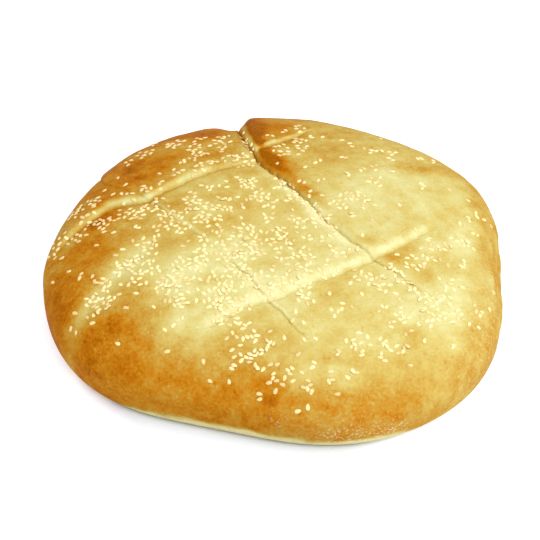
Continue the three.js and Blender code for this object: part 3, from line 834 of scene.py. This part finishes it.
# The sesame: hulled seeds, flat teardrops about 3 mm long, sprinkled by hand before baking. They lie in
# handfuls, some on top of each other, and many rolled into the slashes and the valley.
SEED_LENGTH = 3.1
SEED_WIDTH = 2
SEED_THICKNESS = 0.9
SEED_TAPER = 0.24  # the pointed end is narrower by this share
SEED_LIFT = 0.05  # the middle of a seed is this far above the crust
SEED_SPREAD = 0.22  # seeds differ in size by this share
SEED_GAP = 1.75  # seeds that fall nearer than this to another roll away
HEAP_GAP = 2.1  # and nearer than this they lie on top of it
HEAP_LIFT = 0.35
SEED_SIDES = 8
SEED_RINGS = 5
SEED_POINT = 1.08  # the pointed end reaches this much further than the round one
SPRINKLED = 150
# Handfuls: x, y, reach to each side and to the back, share of the sprinkled seeds
HANDFULS = np.array([
    (-20, -20, 32, 28, 26), (-56, -32, 24, 22, 12), (-26, -64, 22, 12, 8), (-80, -44, 10, 16, 4),
    (-88, 8, 15, 17, 7), (-46, 24, 28, 14, 11), (-24, 66, 22, 12, 6), (10, 76, 13, 9, 4),
    (16, 12, 24, 22, 7), (62, 32, 28, 26, 7), (52, -28, 28, 18, 9), (72, -58, 24, 12, 9),
    (96, -8, 9, 26, 3), (-2, -96, 15, 11, 7), (42, -88, 26, 13, 8),
], float)
# Pinches, dropped where they show on the loaf: x, y, reach, seeds
PINCHES = np.array([
    # the left end, on both sides of the back slash
    (-106, 24, 3.5, 9), (-96, 28, 3, 6), (-97, 14, 3.5, 5), (-97, 9, 3.5, 6), (-103, -1, 3.5, 7),
    (-113, 2, 4, 7), (-115, -6, 3, 4), (-110, -13, 1, 1), (-91, 38, 1, 1), (-84, 30, 2.5, 2),
    (-88, 7, 3.5, 9), (-89, -1, 1.5, 2), (-77, 11, 4, 9), (-70, 10, 4.5, 11), (-64, 16, 3, 7),
    (-57, 9, 3.5, 5), (-52, 3, 3.5, 7), (-59, -3, 3.5, 6), (-71, -3, 1, 2), (-76, 27, 2, 2),
    (-68, 29, 2.5, 5), (-60, 31, 2.5, 3),
    # between the left slash and the long one
    (-53, -4, 3, 5), (-48, -6, 4, 9), (-46, 6, 2, 3), (-43, 19, 4, 8), (-39, 11, 4, 10), (-34, 5, 4, 12),
    (-37, -1, 3.5, 10), (-24, 7, 2, 4), (-28, -1, 2, 3), (-28, -9, 1.5, 2), (-13, 30, 3.5, 9),
    (-17, 31, 3, 3), (-27, 29, 3, 3), (-35, 29, 3, 4), (-7, 19, 4, 11), (-2, 14, 3, 5), (-20, 17, 2, 2),
    (-27, 13, 3, 3), (-16, 11, 2, 2), (-3, 0, 3, 5), (3, 27, 2, 3), (8, 17, 2, 3), (3, 34, 2, 3),
    (8, 27, 2.5, 5), (12, 20, 2.5, 6), (16, 15, 2.5, 6), (20, 9, 2, 4), (24, 3, 2, 3), (27, -2, 2, 4),
    (30, -7, 2, 3), (-18, 84, 1.5, 3), (-24, -33, 1, 3), (-20, -38, 1, 4), (-16, -43, 1, 3),
    (-12, -49, 1, 4), (-8, -55, 1, 3), (-4, -61, 1, 3), (-15.5, 74, 1.5, 3), (-13.5, 67, 1.5, 3),
    (-12, 62, 1.5, 2),
    # behind the back slash
    (-53, 43, 3, 4), (-40, 47, 3, 5), (-33, 51, 2, 4), (-26, 54, 2.5, 3), (-18, 55, 3.5, 9),
    (-13, 51, 3, 6), (-49, 54, 1.5, 3), (-44, 57, 2, 4), (-38, 61, 1.5, 3), (-43, 67, 3, 5),
    (-43, 74, 3, 4), (-40, 82, 2, 3), (-33, 75, 3, 4), (-29, 66, 2.5, 4), (-25, 74, 2.5, 2),
    (-27, 83, 2.5, 4), (-56, 76, 3, 7), (-52, 81, 2, 3), (-72, 71, 4, 7), (-67, 86, 2.5, 3),
    (-79, 66, 2, 2),
    # along the valley
    (-98, -33, 1.2, 2), (-90, -36, 1, 1), (-78, -30, 2, 4), (-72, -27, 2.5, 4), (-72, -33, 3, 7),
    (-79, -36, 1.5, 3), (-65, -18, 4, 9), (-61, -13, 2, 3), (-62, -25, 2.5, 3), (-66, -32, 3.5, 6),
    (-62, -37, 4, 10), (-68, -41, 2.5, 4), (-85, -41, 3, 8), (-83, -46, 2, 4), (-91, -52, 3, 8),
    (-87, -56, 4, 11), (-90, -60, 3, 5), (-83, -58, 2, 4), (-77, -55, 1, 1), (-99, -58, 1, 1),
    (-100, -64, 1, 1), (-97, -67, 1, 1), (-90, -65, 1, 1), (-71, -45, 2, 3), (-65, -48, 1.5, 2),
    (-73, -62, 1, 1), (-58, -64, 1, 1), (-53, -60, 1.5, 2), (-53, -77, 1, 1), (-77, -80, 1, 1),
    (-53, -89, 1, 1), (-34, -97, 1, 1), (-30, -105, 1, 1), (-20, -105, 1, 1),
    # the pale middle
    (-50, -45, 4, 11), (-46, -37, 4, 11), (-38, -37, 4, 13), (-57, -51, 2.5, 5), (-51, -53, 3, 7),
    (-47, -56, 3, 5), (-46, -63, 2.5, 8), (-40, -46, 4, 6), (-37, -58, 4, 5), (-30, -47, 3, 6),
    (-25, -47, 3, 7), (-25, -55, 3, 9), (-19, -54, 3, 6), (-26, -60, 3, 5), (-31, -64, 3, 7),
    (-24, -64, 3.5, 7), (-16, -64, 3.5, 8), (-12, -66, 2.5, 4), (-22, -70, 4, 9), (-27, -74, 2.5, 6),
    (-20, -75, 2.5, 5), (-36, -27, 3, 5), (-44, -21, 2, 2), (-37, -17, 2, 3), (-33, -22, 3, 6),
    (-29, -13, 2.5, 4), (-18, -15, 2.5, 4), (-12, -12, 4, 10), (-8, -20, 3, 6), (-11, -24, 3, 6),
    (-16, -22, 2.5, 4), (-24, -23, 3, 5), (-20, -30, 3, 6), (-26, -32, 3, 6), (-21, -37, 3.5, 9),
    (-14, -31, 3.5, 8), (-8, -30, 2.5, 6), (-15, -45, 3.5, 8), (-3, -46, 3, 4), (0, -21, 2, 3),
    (5, -20, 2.5, 4), (3, -12, 3, 8), (2, -28, 2, 3), (2, -34, 1.5, 2), (9, -13, 2, 2), (8, -25, 1.5, 2),
    (14, -26, 1, 1), (17, -17, 2, 3), (26, -18, 2.5, 3), (30, -24, 2, 2), (16, -31, 3.5, 8),
    (9, -33, 2, 3), (26, -35, 1, 1), (34, -30, 3, 7), (39, -28, 2.5, 3), (15, -42, 3.5, 8),
    (9, -43, 3, 3), (28, -42, 3, 7), (14, -3, 2.5, 5), (19, -2, 2, 2), (9, 0, 1.5, 2), (22, -6, 2, 2),
    (12, -8, 1, 1), (10, 8, 1, 1), (5, -52, 4, 9), (13, -54, 4, 9), (1, -56, 3, 5), (12, -61, 2.5, 3),
    (18, -62, 2.5, 4), (28, -57, 1, 1), (38, -66, 1, 1), (30, -70, 2.5, 4), (33, -65, 1, 1),
    # right of the long slash, and round the hook
    (45, 16, 3.5, 8), (37, 16, 3, 4), (34, 10, 3.5, 7), (46, 8, 1.5, 2), (40, 2, 1, 1), (53, 30, 3, 4),
    (57, 34, 2, 2), (54, 46, 2.5, 3), (63, 44, 1.5, 2), (47, 42, 1.5, 2), (40, 36, 1.5, 2),
    (39, 54, 1.5, 2), (25, 49, 2, 2), (18, 42, 1, 1), (15, 30, 1.5, 2), (24, 31, 2, 2), (42, 70, 2, 2),
    (52, 66, 2.5, 3), (59, 66, 1.5, 2), (65, 66, 2, 3), (64, 59, 1.5, 2), (80, 66, 1.5, 2),
    (88, 66, 1.5, 2), (80, 35, 2, 3), (65, 12, 1, 1), (53, 9, 1, 1), (14, 73, 3, 6), (15, 64, 3, 5),
    (3, 66, 2, 3), (5, 57, 2.5, 4), (-1, 59, 1, 1), (7, 84, 2, 2), (15, 87, 3, 3), (-2, 77, 1.5, 2),
    (13, 93, 1.5, 2), (108, 20, 1.5, 2), (115, 19, 2, 2), (104, 31, 1.5, 1), (104, 15, 1.5, 2),
    (99, 8, 1.5, 2), (105, 4, 2, 2), (101, -8, 2.5, 5), (94, -8, 2, 2),
    # the right, in front of the front slash
    (70, -27, 2, 3), (68, -33, 2, 3), (77, -25, 1.5, 2), (83, -26, 2, 3), (76, -32, 1.5, 3),
    (62, -26, 1, 1), (75, -20, 1, 1), (81, -20, 1, 1), (80, -13, 2, 3), (83, -15, 1.5, 2),
    (88, -16, 2.5, 7), (97, -25, 2, 3), (58, -36, 2, 4), (62, -39, 2.5, 8), (65, -44, 2.5, 7),
    (69, -49, 2, 4), (59, -47, 2, 2), (43, -43, 3, 6), (47, -46, 3, 5), (53, -44, 2, 3),
    (53, -51, 2.5, 5), (44, -57, 1, 1), (56, -64, 1, 1), (62, -66, 1.5, 2), (61, -57, 2, 2),
    (75, -55, 3, 7), (85, -53, 4, 7), (90, -43, 3.5, 5), (102, -55, 2.5, 4), (91, -63, 2.5, 5),
    (96, -65, 1.5, 2), (84, -67, 3, 6), (78, -62, 4, 8), (76, -72, 2, 3), (72, -73, 1, 1),
    (62, -71, 3, 7), (56, -76, 1.5, 2), (66, -78, 1, 1), (64, -82, 1, 1), (74, -84, 1, 1),
    (88, -82, 1, 1),
    # the front
    (63, -88, 1, 2), (61, -90.5, 2, 5), (53, -86, 1.5, 3), (54, -90, 2, 4), (52, -94, 1.2, 2),
    (43, -83, 2, 2), (40, -89, 2, 4), (42, -94, 1.2, 2), (45, -89, 1, 1), (33, -89, 1, 1),
    (31, -94, 1.5, 4), (21, -87, 1, 1), (12, -95, 1, 1), (19, -98, 1, 1), (26, -103, 1, 1),
    (39, -104, 1.2, 2), (35, -107, 1, 1), (29, -109, 1, 1), (31, -114, 1, 1), (16, -111, 2, 5),
    (13, -104, 1, 1), (17, -102, 1, 1), (7, -106, 2.5, 4), (5, -109, 1, 1), (0, -106, 1.5, 3),
    (-2, -107, 1, 2), (-3, -105, 1, 1), (10, -119, 1, 1), (15, -119, 1, 1), (-14, -78, 2, 4),
    (-9, -83, 2, 5), (-14, -85, 1, 2), (-23, -84, 1, 1), (-17, -88, 1, 1), (-10, -88, 1, 1),
    (-2, -89, 1.5, 4), (-1, -83, 1, 1), (-20, -91, 1, 1), (-20, -99, 1.2, 3), (-16, -96, 2.5, 5),
    (-12, -96, 1.5, 4), (-8, -94, 1.5, 4), (-5, -93, 1.5, 4), (-7, -101, 1, 1), (-1, -99, 1, 1),
    (1, -97, 1, 1), (-8, -113, 1, 1), (0, -112, 1, 1),
], float)
PINCH_SPREAD = 1.5  # a pinch scatters over this many times its reach
PINCH_COUNTS = PINCHES[:, 3].astype(int)
GOLDEN_ANGLE = math.pi * (3 - math.sqrt(5))
SWERVE = 0.12  # a seed of a pinch is turned by this share of a full turn at most
TONE_SPREAD = 0.75  # seeds differ in tone by this much
TOASTING = 0.9  # and take this share of the crust's tone below them
TIP_EXPONENT = 4  # how sharply the brown of a seed is drawn together at its point
SHUFFLE = (12.9898, 78.233, 43758.5453)
QUESTION = {"handful": 1, "distance": 2, "direction": 3, "size": 4, "spin": 5, "tone": 6, "tip": 7}


def draw(seed, question):
    """The same number between 0 and 1 each time for a seed and a question about it: the fraction left
    of a large sine."""
    wave = np.sin(seed * SHUFFLE[0] + QUESTION[question] * SHUFFLE[1]) * SHUFFLE[2]
    return wave - np.floor(wave)


def falls(seeds):
    """Where the seeds fall: the sprinkled ones each in one of the handfuls, most of them near its
    middle, and after them the pinches. A pinch lies side by side over a disc: from seed to seed it
    turns by the golden angle, and the square of the distance grows by equal steps, each a bit off."""
    shares = np.cumsum(HANDFULS[:, 4])
    own = np.searchsorted(shares, draw(seeds, "handful") * shares[-1], side="right")
    chosen = HANDFULS[own][:, :4]
    away = np.sqrt(-2 * np.log(1 - draw(seeds, "distance")))
    turn = 2 * math.pi * draw(seeds, "direction")
    counts = PINCH_COUNTS
    chosen[SPRINKLED:] = np.repeat(PINCHES * (1, 1, PINCH_SPREAD, 1), counts, axis=0)[:, [0, 1, 2, 2]]
    order = np.arange(counts.sum()) - np.repeat(np.cumsum(counts) - counts, counts)
    away[SPRINKLED:] = np.sqrt((order + draw(seeds[SPRINKLED:], "distance")) / np.repeat(counts, counts))
    first = np.repeat(np.arange(len(counts)), counts)
    turn[SPRINKLED:] = first + GOLDEN_ANGLE * order + SWERVE * turn[SPRINKLED:]
    x, y, reach_x, reach_y = chosen.T
    return x + reach_x * away * np.cos(turn), y + reach_y * away * np.sin(turn)


def settle(tree, xs, ys):
    """Drops each seed straight down onto the crust: the numbers of the seeds that stay, where they
    come to rest, the slope and the number of the face there, and how many seeds each one lies on."""
    places = np.zeros((0, 2))
    kept, heights, slopes, spots, levels = [], [], [], [], []
    for number, (x, y) in enumerate(zip(xs, ys)):
        hit, normal, spot, _ = tree.ray_cast(Vector((x, y, 2 * HEIGHT)), Vector((0, 0, -1)))
        if hit is None or hit.z < WIDEST_HEIGHT:
            continue
        gaps = np.hypot(places[:, 0] - x, places[:, 1] - y)
        if len(gaps) and gaps.min() < SEED_GAP:
            continue
        close = [levels[k] for k in np.nonzero(gaps < HEAP_GAP)[0]]
        level = min(max(close) + 1, 2) if close else 0
        kept.append(number)
        levels.append(level)
        places = np.concatenate([places, [[x, y]]])
        slopes.append(normal)
        heights.append(hit.z)
        spots.append(spot)
    return np.array(kept), np.column_stack([places, heights]), np.array(slopes), spots, np.array(levels)


def seed_shape():
    """One seed, 2 long, 2 wide and 2 thick before it is scaled: rings along X from the pointed end to
    the round end, each an ellipse whose width and thickness follow a circle, narrowed by the taper."""
    turn = np.pi * np.arange(1, SEED_RINGS) / SEED_RINGS
    along = -np.cos(turn)
    wide = np.sin(turn) * (1 + SEED_TAPER * along)
    side = 2 * np.pi * np.arange(SEED_SIDES) / SEED_SIDES
    rings = np.stack([
        np.repeat(along[:, None], SEED_SIDES, 1),
        wide[:, None] * np.cos(side),
        wide[:, None] * np.sin(side),
    ], -1).reshape(-1, 3)
    points = np.concatenate([[(-SEED_POINT, 0, 0)], rings, [(1, 0, 0)]])
    numbers = 1 + np.arange((SEED_RINGS - 1) * SEED_SIDES).reshape(-1, SEED_SIDES)
    beside = np.roll(numbers, -1, axis=1)
    bands = band_faces(numbers[:-1], beside[:-1], beside[1:], numbers[1:])
    tip, end = np.zeros(SEED_SIDES, int), np.full(SEED_SIDES, len(points) - 1)
    caps = [np.stack([tip, beside[0], numbers[0]], -1), np.stack([end, numbers[-1], beside[-1]], -1)]
    return points, np.concatenate([bands, *caps])


numbers = np.arange(SPRINKLED + int(PINCH_COUNTS.sum()))
fall_x, fall_y = falls(numbers)
ground = BVHTree.FromPolygons(crust_points.tolist(), crust_faces.tolist())
kept, resting, slopes, spots, levels = settle(ground, fall_x, fall_y)
shape, shape_faces = seed_shape()
size = 1 + SEED_SPREAD * (draw(kept, "size") - 0.5)
spin = 2 * math.pi * draw(kept, "spin")
scaled = shape[None] * np.stack([
    size * SEED_LENGTH / 2, size * SEED_WIDTH / 2, np.full_like(size, SEED_THICKNESS / 2),
], -1)[:, None]
flat = np.stack([np.cos(spin), np.sin(spin), np.zeros_like(spin)], -1)
along = flat - (flat * slopes).sum(-1, keepdims=True) * slopes
along /= np.linalg.norm(along, axis=-1, keepdims=True)
across = np.cross(slopes, along)
axes = np.stack([along, across, slopes], 1)
centres = resting + slopes * (SEED_LIFT + HEAP_LIFT * levels)[:, None]
seed_points = np.einsum("nki,nij->nkj", scaled, axes) + centres[:, None]
seed_faces = shape_faces[None] + (np.arange(len(kept)) * len(shape))[:, None, None]
toasting = crust_tone[crust_faces[spots, 0]]
seed_tone = np.repeat(TONE_SPREAD * draw(kept, "tone") ** 2 + TOASTING * toasting, len(shape))
seed_tip = np.tile(np.clip(-shape[:, 0], 0, 1) ** TIP_EXPONENT, len(kept))
sesame = make_piece(
    "sesame", seed_points.reshape(-1, 3), seed_faces.reshape(-1, 3), tone=seed_tone, tip=seed_tip,
)
SEED_COLOURS = [(0, "#f2e1a9"), (0.45, "#ecd99c"), (1, "#d8ba7a")]
TIP_BROWN = 0.15
SEED_ROUGHNESS = 0.42
SEED_GLOSS = 0.45


def sesame_material():
    """Hulled sesame: cream, toasted more where the crust browned, browner at the tip, oily satin."""
    made, tree, shader = material("sesame seed")
    tone = plus(tree, mark(tree, "tone"), times(tree, mark(tree, "tip"), TIP_BROWN))
    fill(tree, shader, {
        "Base Color": ramp(tree, tone, SEED_COLOURS),
        "Roughness": SEED_ROUGHNESS,
        "Specular IOR Level": SEED_GLOSS,
    })
    return made


sesame.data.materials.append(sesame_material())
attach(sesame, "root")
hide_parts("loaf")

# The studio: a plain pale floor that glows with painted light, which is off in a painted shadow under the
# front of the loaf, a bright even surround, a wide soft lamp overhead and a smaller one on the right in
# front. The glow washes out other shadows, so only a narrow shadow shows, under the front left edge.
FLOOR_SIZE = 6000
FLOOR_LEVEL = -0.05  # just under the loaf, so that the two faces don't coincide
FLOOR_COLOUR = (0.76, 0.79, 0.88, 1)
FLOOR_PAINTED_LIGHT = 0.4  # painted light: the floor glows this strongly, washing out shadows round the loaf, but not under its front
PAINTED_SHADOW_SPOT = (-8, -70, 0)  # middle of the painted shadow, where the floor's glow is off
PAINTED_SHADOW_REACH = (68, 92)  # the glow comes in between these distances from that middle
WHITE = (1, 1, 1, 1)
SURROUND = 0.8
# Rows: name, place, size, watts
LAMPS = [("overhead lamp", (-200, -250, 1450), 1600, 8), ("side lamp", (830, -600, 1100), 1100, 15)]


def pale_floor():
    """A large square floor, dull, that glows with painted light except in a painted shadow under the front
    of the loaf.
    """
    half, level = FLOOR_SIZE * MM / 2, FLOOR_LEVEL * MM
    corners = [(-half, -half, level), (half, -half, level), (half, half, level), (-half, half, level)]
    mesh = bpy.data.meshes.new("floor")
    mesh.from_pydata(corners, [], [(0, 1, 2, 3)])
    made, tree, shader = material("pale floor")
    spot = {0: place_on(tree), 1: Vector(PAINTED_SHADOW_SPOT) * MM}
    away = node(tree, "ShaderNodeVectorMath", spot, operation="DISTANCE").outputs["Value"]
    near, far = PAINTED_SHADOW_REACH
    fill(tree, shader, {
        "Base Color": FLOOR_COLOUR,
        "Roughness": 1,
        "Specular IOR Level": 0,
        "Emission Color": WHITE,
        "Emission Strength": reading(tree, away, near * MM, far * MM, 0, FLOOR_PAINTED_LIGHT),
    })
    mesh.materials.append(made)
    floor = bpy.data.objects.new("floor", mesh)
    bpy.context.scene.collection.objects.link(floor)
    return floor


def aim(thing, place, target):
    """Places a lamp or camera and turns it to look at a point."""
    thing.location = Vector(place) * MM
    thing.rotation_euler = (Vector(target) * MM - thing.location).to_track_quat("-Z", "Y").to_euler()


pale_floor()
surround = bpy.data.worlds.new("surround")
surround.use_nodes = True
sky = surround.node_tree
fill(sky, sky.nodes["Background"], {"Color": WHITE, "Strength": SURROUND})
bpy.context.scene.world = surround
for lamp_name, lamp_place, lamp_size, watts in LAMPS:
    lamp_data = bpy.data.lights.new(lamp_name, "AREA")
    lamp_data.energy = watts
    lamp_data.size = lamp_size * MM
    lamp = bpy.data.objects.new(lamp_name, lamp_data)
    bpy.context.scene.collection.objects.link(lamp)
    aim(lamp, lamp_place, (0, 0, 0))
bpy.context.scene.view_settings.view_transform = "Standard"

# The camera: in front of the loaf and above it, looking down at the photograph's angle. It is a long
# lens from about a metre off, so the loaf's far edge is hardly smaller than its near one.
CAMERA_ANGLE = 40
CAMERA_DISTANCE = 900
CAMERA_TARGET = (-1.82, -9.55, 20)
CAMERA_LENS = 114.3

camera_data = bpy.data.cameras.new("camera")
camera_data.lens = CAMERA_LENS
camera = bpy.data.objects.new("camera", camera_data)
bpy.context.scene.collection.objects.link(camera)
lift = math.radians(CAMERA_ANGLE)
camera_place = (
    CAMERA_TARGET[0],
    CAMERA_TARGET[1] - CAMERA_DISTANCE * math.cos(lift),
    CAMERA_TARGET[2] + CAMERA_DISTANCE * math.sin(lift),
)
aim(camera, camera_place, CAMERA_TARGET)
bpy.context.scene.camera = camera
